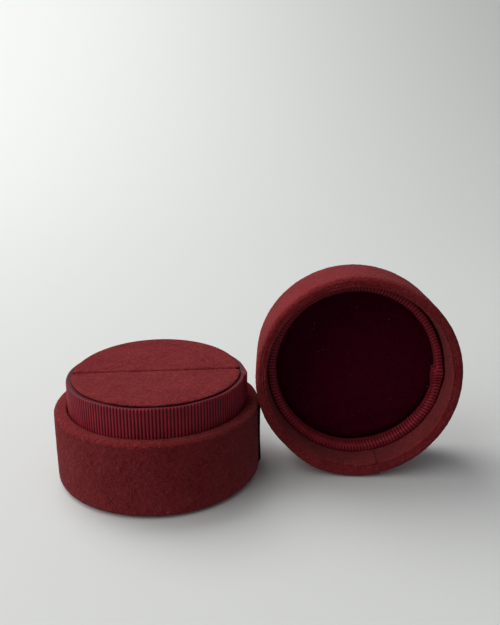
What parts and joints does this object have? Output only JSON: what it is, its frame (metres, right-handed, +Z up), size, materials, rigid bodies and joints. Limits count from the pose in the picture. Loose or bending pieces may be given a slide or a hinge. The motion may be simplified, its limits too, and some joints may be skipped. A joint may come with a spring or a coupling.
{
  "type": "jewelry gift box",
  "caption": "Round velvet ring box shown open: base with a ribbon-wrapped neck and a split ring cushion, and its lid lying on its side beside it.",
  "frame": {"origin": "centre of the base's underside, on the surface that the box stands on", "axes": "+Z up along the base's axis, +X from the base towards the lid lying beside it, -Y the front, where the lid's mouth looks"},
  "size_m": [0.1187, 0.06, 0.0602],
  "materials": {
    "suede_velvet": "soft suede-like short pile",
    "lining_velvet": "short pile velvet",
    "ribbed_ribbon": "corded weave with a low sheen",
    "grey_card": "plain card",
    "foam": "soft foam"
  },
  "bodies": {
    "base": {"base_underside_cover": "lining_velvet", "base_bottom_board": "grey_card", "base_tube": "grey_card", "base_wall_velvet": "suede_velvet", "neck_tube": "grey_card", "neck_ribbon": "ribbed_ribbon"},
    "cushion_front": {"cushion_front_backing": "grey_card", "cushion_front_foam": "foam", "cushion_front_velvet": "suede_velvet"},
    "cushion_back": {"cushion_back_backing": "grey_card", "cushion_back_foam": "foam", "cushion_back_velvet": "suede_velvet"},
    "lid": {"lid_top_velvet": "suede_velvet", "lid_top_board": "grey_card", "lid_tube": "grey_card", "lid_wall_velvet": "suede_velvet", "lid_lining": "suede_velvet", "lid_stop_ring": "grey_card", "lid_stop_ribbon": "ribbed_ribbon", "lid_pad_board": "grey_card", "lid_pad_foam": "foam", "lid_pad_velvet": "lining_velvet"}
  },
  "joints": [
    {"name": "lid_swing", "type": "hinge", "parent": "base", "child": "lid", "pos_m": [0.02913, -0.00474, 0.03277], "axis": [-0.0948, -0.7225, -0.6848], "range_deg": [0, 187.93]},
    {"name": "cushion_front_give", "type": "slide", "parent": "base", "child": "cushion_front", "axis": [0.0872, -0.9962, 0], "range_m": [0, 0.0006], "stiffness_N_per_m": 300},
    {"name": "cushion_back_give", "type": "slide", "parent": "base", "child": "cushion_back", "axis": [-0.0872, 0.9962, 0], "range_m": [0, 0.0006], "stiffness_N_per_m": 300}
  ]
}
